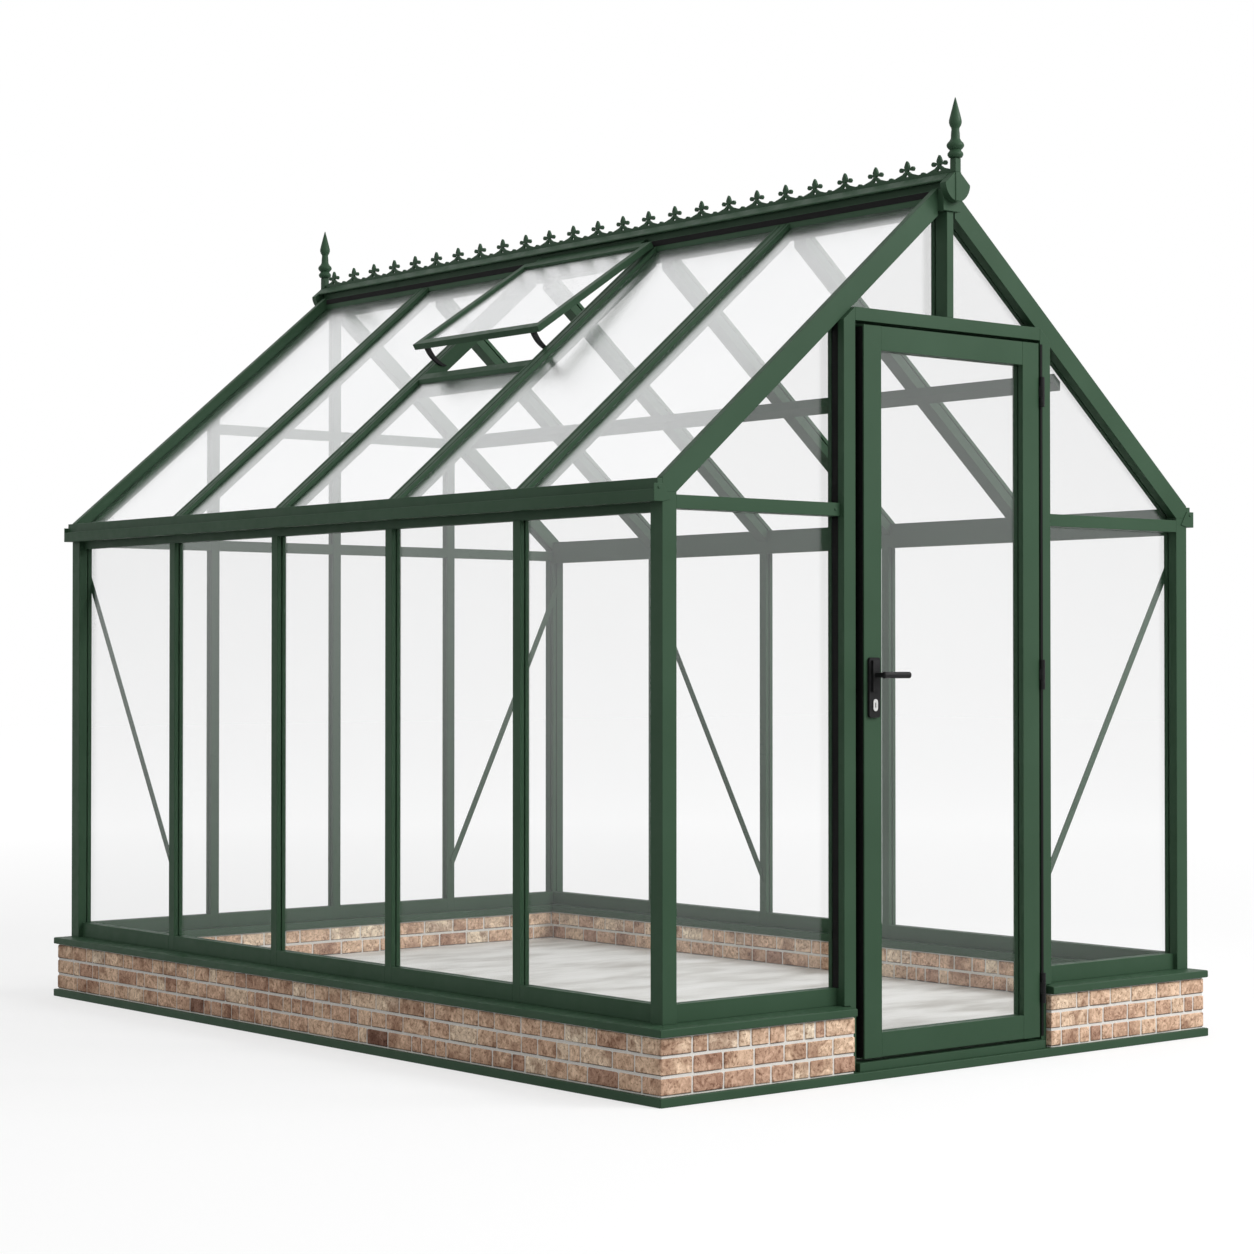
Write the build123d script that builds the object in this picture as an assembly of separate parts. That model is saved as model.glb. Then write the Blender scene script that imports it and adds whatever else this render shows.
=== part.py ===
from build123d import *
import os
from math import cos, radians, sin, tan

# A garden greenhouse: green aluminium bars glazed with clear polycarbonate, on a brick dwarf wall.
# Lengths are millimetres. X runs across the gables, Y from the door to the rear, Z up from the ground.

# Plan of the frame, over the outer faces of the corner posts
frame_length = 3100.0
frame_width = 2108.0
side_bays = 5
rear_bays = 4

# Base rail, brick dwarf wall, sill and floor
base_rail_height = 24.0
wall_height = 154.0
wall_thickness = 105.0
wall_overhang = 34.0  # brick face beyond the frame face
sill_height = 26.0
sill_nosing = 10.0  # sill and base rail beyond the brick face
sill_fall = 5.0  # slope of the sill's weathered edge
sill_lap = 6.0  # sill beyond the inner brick face
floor_height = 78.0

# Upright bars
post_size = 48.0
mullion_width = 33.0
mullion_recess = 15.0  # set in from the post faces
bottom_rail_height = 48.0
tie_height = 36.0
tie_drop = 16.0  # tie underside below the post tops
king_width = 26.0

# Eaves
eave_height = 1549.0  # top of the posts
eave_beam_width = 30.0
eave_beam_drop = 24.0  # beam underside below the gutter
gutter_height = 61.0
gutter_overhang = 17.0  # gutter face beyond the frame face
gutter_wall = 4.0
gutter_floor = 11.0
gutter_lip = 14.0  # lower moulding beyond the gutter face
gutter_lip_height = 32.0
gutter_plate = 3.0  # end plates, screwed to the corner posts
gutter_plate_height = 47.0
gutter_plate_lap = 27.0
gutter_plate_foot = 7.0

# Roof
roof_pitch = 40.0  # degrees
verge_toe = 4.0  # roof line at the gutter's top, beyond the frame face
verge_width = 60.0
verge_rib = 22.0  # verge in front of the roof panes
rafter_drop = 20.0  # rafter tops below the verge tops
rafter_width = 52.0
rafter_depth = 46.0
rafter_groove = 4.0
rafter_groove_spread = 26.0
purlin_width = 36.0
purlin_depth = 20.0
collar_height = 34.0
collar_drop = 20.0  # collar top below the heads of the rear posts

# Ridge, its cresting and finials
ridge_rise = 13.5  # ridge top above the point where the verges' top edges would meet
ridge_width = 68.0
ridge_box_height = 60.0
ridge_neck_width = 32.0
ridge_neck_height = 22.0
ridge_cap_width = 76.0
ridge_cap_top_width = 28.0
ridge_cap_height = 25.0
ridge_cap_lip = 4.0
ridge_overhang = 22.0
end_cap_thickness = 26.0
end_cap_width = 98.0
end_cap_height = 84.0
end_cap_step = 7.0
pilaster_proud = 3.0
crest_pitch = 127.0
crest_height = 58.0
crest_width = 61.0
crest_thickness = 8.0
crest_strip_height = 12.0
crest_gap = 1.0  # cresting short of the finials
finial_height = 213.0
finial_diameter = 50.0
finial_post_size = 22.0
finial_post_height = 40.0

# Glazing
pane_thickness = 4.0
pane_inset = 32.0  # mid-plane of a wall pane behind the frame face
pane_depth = 14.0  # mid-plane of a roof pane below the rafter tops
pane_bite = 8.0  # pane edge inside its glazing groove
pane_clearance = 0.3
pane_drip = 8.0  # roof pane beyond the eave beam

# Roof vent, fixed ajar
vent_length = 575.0
vent_width = 650.0
vent_opening = 6.5  # degrees
vent_bar = 28.0
vent_thickness = 20.0
vent_arm = 4.0
vent_bead_radius = 5.0
vent_bead_gap = 0.3
vent_head_gap = 4.0
vent_transom_width = 24.0
vent_stay_width = 16.0
vent_stay_thickness = 6.0
vent_stay_bow = 14.0  # how far the stay curves out of straight
vent_stay_foot = 96.0  # stay's foot up the slope from the transom

# Diagonal braces
brace_width = 22.0
brace_thickness = 4.0
brace_end = 130.0  # brace ends from the top and bottom of their bay

# Door frame
door_width = 708.0
door_side_gap = 20.0
door_head_gap = 11.0
door_sill_gap = 10.0
jamb_width = 44.0
jamb_proud = 15.0
header_height = 37.0
threshold_height = 24.0
threshold_proud = 30.0
stop_lap = 6.0  # door stop behind the leaf's edge
stop_thickness = 12.0
stop_gap = 6.0

# Door leaf
leaf_thickness = 40.0
leaf_proud = 27.0
stile_width = 67.0
door_rail_height = 67.0

# Butt hinges
hinge_height = 86.0
hinge_end = 140.0  # hinge centre from the leaf's top and bottom
hinge_plate = 3.0
hinge_plate_width = 34.0
knuckle_radius = 8.0
knuckle_proud = 4.0  # hinge axis in front of the leaf
knuckle_gap = 1.0
knuckle_share = 0.36  # middle knuckle, of the hinge height
pin_radius = 4.0
pin_clearance = 0.05

# Lever handles and lock
handle_rise = 1043.0  # spindle above the leaf's bottom edge
handle_plate_width = 42.0
handle_plate_height = 164.0
handle_plate_thickness = 8.0
handle_plate_lift = 48.0  # plate top above the spindle
handle_corner = 8.0
lever_length = 104.0
lever_reach = 40.0  # lever's axis in front of its plate
lever_radius = 9.0
lever_chamfer = 3.0
spindle_radius = 7.0
boss_width = 26.0  # raised part of a handle plate
boss_height = 86.0
boss_thickness = 7.0
spindle_clearance = 0.2
cylinder_drop = 82.0  # lock cylinder below the spindle
cylinder_width = 17.0
cylinder_height = 33.0
cylinder_proud = 3.0

overrun = 20.0  # cutting tools run this far past what they cut

# Places worked out from the sizes above
half_length = frame_length / 2
half_width = frame_width / 2
tan_pitch = tan(radians(roof_pitch))
cos_pitch = cos(radians(roof_pitch))

wall_top = base_rail_height + wall_height
sill_top = wall_top + sill_height
base_overhang = wall_overhang + sill_nosing
wall_inset = wall_thickness - wall_overhang  # inner brick face behind the frame face
rail_top = sill_top + bottom_rail_height
tie_bottom = eave_height - tie_drop
tie_top = tie_bottom + tie_height
beam_bottom = eave_height - eave_beam_drop

beam_inner = half_width - post_size
beam_outer = beam_inner + eave_beam_width
gutter_face = half_width + gutter_overhang
gutter_top = eave_height + gutter_height

side_pitch = (frame_length - post_size) / side_bays
mullion_places = [side_pitch * (i - side_bays / 2) for i in range(1, side_bays)]
rear_pitch = (frame_width - post_size) / rear_bays
rear_places = [rear_pitch * (i - rear_bays / 2) for i in range(1, rear_bays)]
inner_length = half_length - post_size
inner_width = half_width - post_size

jamb_inner = door_width / 2 + door_side_gap
jamb_outer = jamb_inner + jamb_width
pier_end = jamb_inner + jamb_width / 2


def roof_z(x, depth=0):
    """Height of the roof's slope at x, at a depth measured square to the rafter tops."""
    return gutter_top + (half_width + verge_toe - abs(x)) * tan_pitch - depth / cos_pitch


ridge_half = ridge_width / 2
ridge_top = roof_z(0) + ridge_rise
ridge_cap_bottom = ridge_top - ridge_cap_height
ridge_box_top = ridge_cap_bottom - ridge_neck_height
ridge_bottom = ridge_box_top - ridge_box_height
ridge_end = half_length + ridge_overhang

pane_level = rafter_drop + pane_depth
pane_seat = pane_level + pane_thickness / 2 + pane_clearance
post_top = roof_z(inner_width, verge_width)

header_top = roof_z(jamb_inner, verge_width)
header_bottom = header_top - header_height
threshold_top = base_rail_height + threshold_height
leaf_bottom = threshold_top + door_sill_gap
leaf_top = header_bottom - door_head_gap
leaf_half = door_width / 2
leaf_front = -half_length - leaf_proud
leaf_back = leaf_front + leaf_thickness
stop_front = leaf_back + stop_gap
stop_back = stop_front + stop_thickness
handle_x = -leaf_half + stile_width / 2
handle_z = leaf_bottom + handle_rise


def block(x0, x1, y0, y1, z0, z1):
    """A square-cut bar or slab between two corners."""
    middle = Pos((x0 + x1) / 2, (y0 + y1) / 2, (z0 + z1) / 2)
    return middle * Box(x1 - x0, y1 - y0, z1 - z0)


def along_y(points, y0, y1):
    """An outline in X and Z, extruded along the ridge."""
    face = make_face(Polyline([(x, y0, z) for x, z in points], close=True))
    return extrude(face, amount=y1 - y0, dir=(0, 1, 0))


def along_x(points, x0, x1):
    """An outline in Y and Z, extruded across the gable."""
    face = make_face(Polyline([(x0, y, z) for y, z in points], close=True))
    return extrude(face, amount=x1 - x0, dir=(1, 0, 0))


def flipped(points):
    """The same outline on the left slope."""
    return [(-x, z) for x, z in points]


def slope_strip(x0, x1, top, bottom):
    """Outline of a bar or sheet on the right slope, with plumb-cut ends."""
    return [
        (x0, roof_z(x0, top)),
        (x1, roof_z(x1, top)),
        (x1, roof_z(x1, bottom)),
        (x0, roof_z(x0, bottom)),
    ]


def turned(shape):
    """The same piece on the other side of the ridge."""
    return mirror(shape, about=Plane.YZ)


def cut(pieces, tools):
    """The solids of some pieces after all the tools are taken out of each."""
    left = []
    for piece in pieces:
        left.extend((piece - tools).solids() if tools else piece.solids())
    return left


def save(name, pieces):
    """One file for each node."""
    solids = [solid for piece in pieces for solid in piece.solids()]
    export_step(Compound(solids), f"parts/{name}.step")


# Panes: each one is a daylight opening grown by the bite of its grooves. The same opening, grown a
# little more, is the groove that is cut into the bars around it.
def wall_pane(side, y0, y1, z0, z1, spare):
    grow = pane_bite + spare
    middle = side * (half_width - pane_inset)
    half = pane_thickness / 2 + spare
    return block(middle - half, middle + half, y0 - grow, y1 + grow, z0 - grow, z1 + grow)


def gable_pane(end, points, spare):
    half = pane_thickness / 2 + spare
    middle = end * (half_length - pane_inset)
    face = make_face(Polyline([(x, middle - half, z) for x, z in points], close=True))
    face = offset(face, pane_bite + spare, kind=Kind.INTERSECTION)
    return extrude(face, amount=half + half, dir=(0, 1, 0))


def roof_pane(side, x0, x1, y0, y1, spare):
    half = pane_thickness / 2 + spare
    x0 = x0 - pane_bite - spare
    strip = slope_strip(x0, x1 + spare, pane_level - half, pane_level + half)
    points = strip if side > 0 else flipped(strip)
    return along_y(points, y0 - pane_bite - spare, y1 + pane_bite + spare)


bay_edges = [-half_length + post_size]
for place in mullion_places:
    bay_edges += [place - mullion_width / 2, place + mullion_width / 2]
bay_edges += [half_length - post_size]
side_lights = list(zip(bay_edges[0::2], bay_edges[1::2]))

roof_edges = [-half_length + verge_rib]
for place in mullion_places:
    roof_edges += [place - rafter_width / 2, place + rafter_width / 2]
roof_edges += [half_length - verge_rib]
roof_lights = list(zip(roof_edges[0::2], roof_edges[1::2]))
vent_bay = side_bays // 2

vent_slope = radians(roof_pitch - vent_opening)
vent_pivot_x = ridge_neck_width / 2 + vent_bead_radius + vent_bead_gap
vent_pivot_z = ridge_box_top + vent_bead_radius + vent_bead_gap
vent_top = vent_bead_radius + vent_arm / 2  # sash top over the pivot, square to the sash
vent_under = vent_top - vent_thickness
vent_reach = ridge_half + vent_head_gap - vent_pivot_x - vent_under * sin(vent_slope)
vent_start = vent_reach / cos(vent_slope)
transom_outer = vent_pivot_x + vent_length * cos(vent_slope) + vent_transom_width / 2
transom_inner = transom_outer - vent_transom_width


def verge_under(x):
    """Underside of a verge, where the gable's panes and posts end."""
    return roof_z(x, verge_width)


def front_outlines():
    """Daylight openings of the right half of the door gable."""
    lower = [
        (jamb_outer, rail_top),
        (inner_width, rail_top),
        (inner_width, tie_bottom),
        (jamb_outer, tie_bottom),
    ]
    upper = [
        (jamb_outer, tie_top),
        (inner_width, tie_top),
        (inner_width, verge_under(inner_width)),
        (jamb_outer, verge_under(jamb_outer)),
    ]
    king = king_width / 2
    top = [
        (king, header_top),
        (jamb_inner, header_top),
        (king, verge_under(king)),
    ]
    return [lower, upper, top]


rear_half = [place for place in rear_places if place >= 0] + [half_width - post_size / 2]
collar_top = verge_under(rear_pitch - mullion_width / 2) - collar_drop
collar_bottom = collar_top - collar_height


def rear_outlines():
    """Daylight openings of the right half of the rear gable."""
    outlines = []
    bar = mullion_width / 2
    for i, (a, b) in enumerate(zip(rear_half, rear_half[1:])):
        x0 = a + bar
        x1 = min(b - bar, inner_width)
        outlines.append([(x0, rail_top), (x1, rail_top), (x1, tie_bottom), (x0, tie_bottom)])
        head = [(x1, verge_under(x1)), (x0, verge_under(x0))]
        if i == 0:
            outlines.append([(x0, tie_top), (x1, tie_top), (x1, collar_bottom), (x0, collar_bottom)])
            outlines.append([(x0, collar_top), (x1, collar_top)] + head)
        else:
            outlines.append([(x0, tie_top), (x1, tie_top)] + head)
    return outlines


def both_halves(outlines):
    return outlines + [flipped(points) for points in outlines]


def side_panes(spare):
    return [
        wall_pane(side, y0, y1, rail_top, beam_bottom, spare)
        for side in (-1, 1)
        for y0, y1 in side_lights
    ]


def gable_panes(spare):
    front = [gable_pane(-1, points, spare) for points in both_halves(front_outlines())]
    rear = [gable_pane(1, points, spare) for points in both_halves(rear_outlines())]
    return front, rear


def roof_panes(spare):
    panes = []
    for side in (-1, 1):
        for i, (y0, y1) in enumerate(roof_lights):
            x0 = transom_outer if side < 0 and i == vent_bay else ridge_half
            panes.append(roof_pane(side, x0, beam_outer + pane_drip, y0, y1, spare))
    return panes


side_grooves = side_panes(pane_clearance)
front_grooves, rear_grooves = gable_panes(pane_clearance)
roof_grooves = roof_panes(pane_clearance)
all_grooves = side_grooves + front_grooves + rear_grooves + roof_grooves


# Ground works: a base rail all round, brick walls on it, sills on the walls and a floor inside.
def ring_side(points, sign):
    """A run along a side wall from an outline of offsets beyond the frame face, mitred at its ends."""
    far = max(d for d, z in points)
    near = min(d for d, z in points)
    reach = half_length + far
    bar = along_y([(half_width + d, z) for d, z in points], -reach, reach)
    plan = [
        (half_width + far, reach),
        (half_width + near, half_length + near),
        (half_width + near, -half_length - near),
        (half_width + far, -reach),
    ]
    top = max(z for d, z in points) + overrun
    mitre = extrude(make_face(Polyline([(x, y, 0) for x, y in plan], close=True)), amount=top)
    bar = bar & mitre
    return bar if sign > 0 else turned(bar)


def ring_end(points, sign):
    """The same along an end wall."""
    far = max(d for d, z in points)
    near = min(d for d, z in points)
    reach = half_width + far
    bar = along_x([(half_length + d, z) for d, z in points], -reach, reach)
    plan = [
        (reach, half_length + far),
        (half_width + near, half_length + near),
        (-half_width - near, half_length + near),
        (-reach, half_length + far),
    ]
    top = max(z for d, z in points) + overrun
    mitre = extrude(make_face(Polyline([(x, y, 0) for x, y in plan], close=True)), amount=top)
    bar = bar & mitre
    return bar if sign > 0 else mirror(bar, about=Plane.XZ)


def base_rails():
    outline = [
        (base_overhang, 0),
        (base_overhang, base_rail_height),
        (-wall_inset, base_rail_height),
        (-wall_inset, 0),
    ]
    save("base_side_rails", [ring_side(outline, -1), ring_side(outline, 1)])
    save("base_end_rails", [ring_end(outline, -1), ring_end(outline, 1)])


def doorway_cutter(half, z0, z1):
    """The slot through the front wall, from in front of the sill to behind the wall."""
    front = -half_length - base_overhang - overrun
    back = -half_length + wall_inset + sill_lap + overrun
    return block(-half, half, front, back, z0, z1)


def dwarf_walls():
    x_out = half_width + wall_overhang
    y_out = half_length + wall_overhang
    x_in = half_width - wall_inset
    y_in = half_length - wall_inset
    left = block(-x_out, -x_in, -y_out, y_out, base_rail_height, wall_top)
    save("left_dwarf_wall", [left])
    save("right_dwarf_wall", [turned(left)])
    save("rear_dwarf_wall", [block(-x_in, x_in, y_in, y_out, base_rail_height, wall_top)])
    pier = block(pier_end, x_in, -y_out, -y_in, base_rail_height, wall_top)
    save("front_dwarf_walls", [turned(pier), pier])


def sills():
    outline = [
        (base_overhang, wall_top),
        (base_overhang, sill_top - sill_fall),
        (0, sill_top),
        (-wall_inset - sill_lap, sill_top),
        (-wall_inset - sill_lap, wall_top),
    ]
    save("side_sills", [ring_side(outline, -1), ring_side(outline, 1)])
    slot = doorway_cutter(pier_end, wall_top - overrun, sill_top + overrun)
    front = cut([ring_end(outline, -1)], [slot])
    save("end_sills", front + [ring_end(outline, 1)])


def floor():
    x_in = half_width - wall_inset
    y_in = half_length - wall_inset
    slab = block(-x_in, x_in, -y_in, y_in, 0, floor_height)
    tongue = block(-pier_end, pier_end, stop_back, -y_in, base_rail_height, floor_height)
    jamb_room = [
        block(jamb_inner, pier_end, -half_length - jamb_proud, -inner_length, 0, floor_height),
        block(-pier_end, -jamb_inner, -half_length - jamb_proud, -inner_length, 0, floor_height),
    ]
    save("floor_slab", [slab + (tongue - jamb_room)])


# Upright frame: corner posts, glazing bars and rails, with a groove for every pane they hold.
def uprights():
    corner = block(inner_width, half_width, inner_length, half_length, sill_top, post_top)
    corners = [corner, turned(corner)]
    corners += [mirror(post, about=Plane.XZ) for post in corners]
    save("corner_posts", cut(corners, all_grooves))

    outer = half_width - mullion_recess
    bars = []
    for y in mullion_places:
        y0 = y - mullion_width / 2
        y1 = y + mullion_width / 2
        bar = block(inner_width, outer, y0, y1, sill_top, beam_bottom)
        bars += [bar, turned(bar)]
    save("side_mullions", cut(bars, side_grooves))

    rails = []
    for y0, y1 in side_lights:
        rail = block(inner_width, outer, y0, y1, sill_top, rail_top)
        rails += [rail, turned(rail)]
    save("side_bottom_rails", cut(rails, side_grooves))


def rear_frame():
    outer = half_length - mullion_recess
    bar = mullion_width / 2
    posts = []
    for x in rear_places:
        if abs(x) < bar:
            outline = [(-bar, sill_top), (bar, sill_top), (bar, ridge_bottom), (-bar, ridge_bottom)]
        else:
            outline = [
                (x - bar, sill_top),
                (x + bar, sill_top),
                (x + bar, verge_under(x + bar)),
                (x - bar, verge_under(x - bar)),
            ]
        posts.append(along_y(outline, inner_length, outer))
    king_head = along_y(
        slope_strip(ridge_half, half_width, 0, verge_width), inner_length - overrun, half_length + overrun
    )
    save("rear_posts", cut(posts, rear_grooves + [king_head, turned(king_head)]))

    edges = [-inner_width]
    for x in rear_places:
        edges += [x - bar, x + bar]
    edges += [inner_width]
    spans = list(zip(edges[0::2], edges[1::2]))
    rails = [block(x0, x1, inner_length, outer, sill_top, rail_top) for x0, x1 in spans]
    save("rear_bottom_rails", cut(rails, rear_grooves))
    ties = [block(x0, x1, inner_length, outer, tie_bottom, tie_top) for x0, x1 in spans]
    save("rear_eave_ties", cut(ties, rear_grooves))
    inner_spans = spans[1:-1]
    collars = [block(x0, x1, inner_length, outer, collar_bottom, collar_top) for x0, x1 in inner_spans]
    save("rear_collars", cut(collars, rear_grooves))


def front_frame():
    outer = -half_length + mullion_recess
    flush = -half_length
    rail = block(pier_end, inner_width, outer, -inner_length, sill_top, rail_top)
    rail = rail - block(jamb_inner, jamb_outer, flush, -inner_length, sill_top, rail_top)
    save("front_bottom_rails", cut([rail, turned(rail)], front_grooves))
    tie = block(jamb_outer, inner_width, flush, -inner_length, tie_bottom, tie_top)
    save("front_eave_ties", cut([tie, turned(tie)], front_grooves))

    front = -half_length - jamb_proud
    outline = [
        (jamb_inner, base_rail_height),
        (pier_end, base_rail_height),
        (pier_end, sill_top),
        (jamb_outer, sill_top),
        (jamb_outer, verge_under(jamb_outer)),
        (jamb_inner, verge_under(jamb_inner)),
    ]
    jamb = along_y(outline, front, -inner_length)
    save("door_jambs", cut([turned(jamb), jamb], front_grooves))
    header = block(-jamb_inner, jamb_inner, front, -inner_length, header_bottom, header_top)
    save("door_header", cut([header], front_grooves))

    king = king_width / 2
    king_post = block(-king, king, front, -inner_length, header_top, ridge_bottom)
    save("front_king_post", cut([king_post], front_grooves))

    tread = block(
        -jamb_inner, jamb_inner, -half_length - threshold_proud, stop_back, base_rail_height, threshold_top
    )
    save("threshold", [tread])
    stop_edge = leaf_half - stop_lap
    stop = block(stop_edge, jamb_inner, stop_front, stop_back, threshold_top, header_bottom)
    save("door_side_stops", [turned(stop), stop])
    head_stop = block(
        -stop_edge, stop_edge, stop_front, stop_back, leaf_top - stop_lap, header_bottom
    )
    save("door_head_stop", [head_stop])


# Eaves: a beam between the corner posts with a gutter along its outer side.
def eave_beam():
    outline = [
        (beam_inner, beam_bottom),
        (beam_outer, beam_bottom),
        (beam_outer, roof_z(beam_outer, pane_seat)),
        (beam_inner, roof_z(beam_inner, pane_seat)),
    ]
    return along_y(outline, -inner_length, inner_length)


def gutter():
    lip = gutter_face + gutter_lip
    inside = gutter_face - gutter_wall
    shell = [
        (beam_outer, eave_height),
        (lip, eave_height),
        (lip, eave_height + gutter_lip_height),
        (gutter_face, eave_height + gutter_lip_height),
        (gutter_face, gutter_top),
        (beam_outer, gutter_top),
    ]
    body = along_y(shell, -half_length, half_length)
    low = eave_height + gutter_floor
    trough = block(
        beam_outer - overrun, inside, -inner_length, inner_length, low, gutter_top + overrun
    )
    post_room = block(
        inner_width,
        half_width,
        inner_length,
        half_length + overrun,
        eave_height - overrun,
        gutter_top + overrun,
    )
    body = body - [trough, post_room, mirror(post_room, about=Plane.XZ)]
    plate_top = eave_height + gutter_plate_height
    plate = [
        (lip, eave_height),
        (lip, plate_top),
        (half_width, plate_top),
        (half_width - gutter_plate_lap, eave_height + gutter_plate_foot),
        (half_width, eave_height),
    ]
    end = along_y(plate, half_length, half_length + gutter_plate)
    return body + end + mirror(end, about=Plane.XZ)


def eaves():
    beam = eave_beam()
    save("eave_beams", cut([turned(beam), beam], all_grooves))
    save("left_gutter", [turned(gutter())])
    save("right_gutter", [gutter()])


# Roof: rafters notched over the eave beams, verges at the gables and one ridge bar.
def rafters():
    outline = slope_strip(ridge_half, beam_outer, rafter_drop, rafter_drop + rafter_depth)
    channel = slope_strip(0, half_width + overrun, rafter_drop - overrun, rafter_drop + rafter_groove)
    bars = []
    for y in mullion_places:
        bar = along_y(outline, y - rafter_width / 2, y + rafter_width / 2)
        for groove_y in (y - rafter_groove_spread / 2, y + rafter_groove_spread / 2):
            bar -= along_y(channel, groove_y - rafter_groove / 2, groove_y + rafter_groove / 2)
        bar -= eave_beam()
        bars += [bar, turned(bar)]
    save("roof_rafters", cut(bars, roof_grooves))


def verges():
    foot = [
        (half_width, post_top),
        (inner_width, post_top),
        (ridge_half, verge_under(ridge_half)),
    ]
    rib = [(ridge_half, roof_z(ridge_half)), (half_width, roof_z(half_width))] + foot
    toe = half_width + (roof_z(half_width, pane_seat) - post_top) / tan_pitch
    ledge = [(ridge_half, roof_z(ridge_half, pane_seat)), (toe, post_top)] + foot[1:]
    step = -half_length + verge_rib
    board = along_y(rib, -half_length, step) + along_y(ledge, step, -inner_length)
    front = [turned(board), board]
    rear = [mirror(piece, about=Plane.XZ) for piece in front]
    save("gable_verges", cut(front + rear, front_grooves + rear_grooves + roof_grooves))


def purlin():
    middle = (ridge_half + beam_inner) / 2
    half = purlin_width * cos_pitch / 2
    under = rafter_drop + rafter_depth
    outline = slope_strip(middle - half, middle + half, under, under + purlin_depth)
    save("right_purlin", [along_y(outline, -inner_length, inner_length)])


def ridge():
    neck = ridge_neck_width / 2
    cap = ridge_cap_width / 2
    right = [
        (ridge_half, ridge_bottom),
        (ridge_half, ridge_box_top),
        (neck, ridge_box_top),
        (neck, ridge_cap_bottom),
        (cap, ridge_cap_bottom),
        (cap, ridge_cap_bottom + ridge_cap_lip),
        (ridge_cap_top_width / 2, ridge_top),
    ]
    outline = right + flipped(right)[::-1]
    bar = along_y(outline, -ridge_end, ridge_end)
    save("ridge_bar", cut([bar], roof_grooves + front_grooves + rear_grooves))


end_cap_curve_shares = (0.78, 0.48)  # a point of the shield's curved foot, of its half width and height


def end_caps():
    """Shields that close the ridge, each with a square pilaster that carries a finial."""
    half = end_cap_width / 2
    top = finial_post_size / 2
    shoulder = ridge_top - (half - top) * tan_pitch
    hip = shoulder - end_cap_step
    bottom = ridge_top - end_cap_height
    bulge = (half * end_cap_curve_shares[0], bottom + (hip - bottom) * end_cap_curve_shares[1])
    right = [(half, hip), (half, shoulder), (top, ridge_top)]

    def at(x, z):
        return (x, ridge_end, z)

    edges = Polyline([at(x, z) for x, z in right + flipped(right)[::-1]]).edges()
    edges += ThreePointArc(at(-half, hip), at(-bulge[0], bulge[1]), at(0, bottom)).edges()
    edges += ThreePointArc(at(0, bottom), at(*bulge), at(half, hip)).edges()
    cap = extrude(make_face(edges), amount=end_cap_thickness - pilaster_proud, dir=(0, 1, 0))
    cap += block(-top, top, ridge_end, ridge_end + end_cap_thickness, shoulder - half, ridge_top)
    save("ridge_end_caps", [mirror(cap, about=Plane.XZ), cap])


# Turned finial: heights and radii as shares of its height above the square post and its diameter.
finial_shares = [
    (0.00, 0.60),
    (0.07, 0.90),
    (0.13, 0.64),
    (0.21, 1.00),
    (0.33, 0.52),
    (0.49, 0.46),
    (0.60, 0.73),
    (0.88, 0.27),
]


def finials():
    post = block(
        -finial_post_size / 2,
        finial_post_size / 2,
        -finial_post_size / 2,
        finial_post_size / 2,
        0,
        finial_post_height,
    )
    turned_height = finial_height - finial_post_height
    radius = finial_diameter / 2
    rim = [(radius * r, 0, finial_post_height + turned_height * h) for h, r in finial_shares]
    axis = [(0, 0, finial_height), (0, 0, finial_post_height)]
    outline = make_face(Polyline(rim + axis, close=True))
    spire = revolve(outline, Axis.Z)
    finial = post + spire
    y = ridge_end + end_cap_thickness / 2
    save("finials", [Pos(0, -y, ridge_top) * finial, Pos(0, y, ridge_top) * finial])


# Cresting: shares of one motif's width and height, laid out from its middle and the strip's top.
crest_leaf_shares = [(0.0, 0.30), (0.11, 0.44), (0.155, 0.64), (0.08, 0.86), (0.0, 1.0)]
crest_curl_share = 0.115  # radius, of the width
crest_curl_place_shares = (0.37, 0.47)
crest_arm_share = 0.07  # half thickness, of the height
crest_neck_share = 0.085
crest_neck_rise_share = 0.36
crest_foot_share = 0.36  # half spread of the feet, of the pitch
crest_flank_steps = 2
crest_flank_power = 1.8
crest_hole_shares = (0.12, 0.27)  # half width and height of the opening between the feet
crest_bump_shares = [(-0.15, 0.0), (-0.06, 0.1), (0.06, 0.1), (0.15, 0.0)]
crest_curl_sides = 6


def crest_face(points):
    return make_face(Polyline(points, close=True))


def crest_motif():
    """A pointed leaf with two curls on a pair of splayed feet, drawn in the plane of the ridge."""
    foot = crest_strip_height
    rise = crest_height - foot
    leaf = [(crest_width * a, foot + rise * h) for a, h in crest_leaf_shares]
    shape = crest_face(leaf + flipped(leaf[1:-1])[::-1])
    neck = crest_neck_share * crest_width
    reach = crest_foot_share * crest_pitch
    flank = []
    for step in range(crest_flank_steps + 1):
        t = step / crest_flank_steps
        a = neck + (reach - neck) * (1 - t) ** crest_flank_power
        flank.append((a, foot + crest_neck_rise_share * rise * t))
    shape += crest_face(flank + flipped(flank)[::-1])
    arm = crest_arm_share * rise
    curl_a = crest_curl_place_shares[0] * crest_width
    curl_h = foot + crest_curl_place_shares[1] * rise
    shape += Pos(0, curl_h) * Rectangle(curl_a + curl_a, arm + arm)
    for side in (-1, 1):
        curl = RegularPolygon(crest_curl_share * crest_width, crest_curl_sides)
        shape += Pos(side * curl_a, curl_h) * curl
    hole = crest_hole_shares[0] * crest_width
    return shape - crest_face([(-hole, foot), (hole, foot), (0, foot + crest_hole_shares[1] * rise)])


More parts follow.
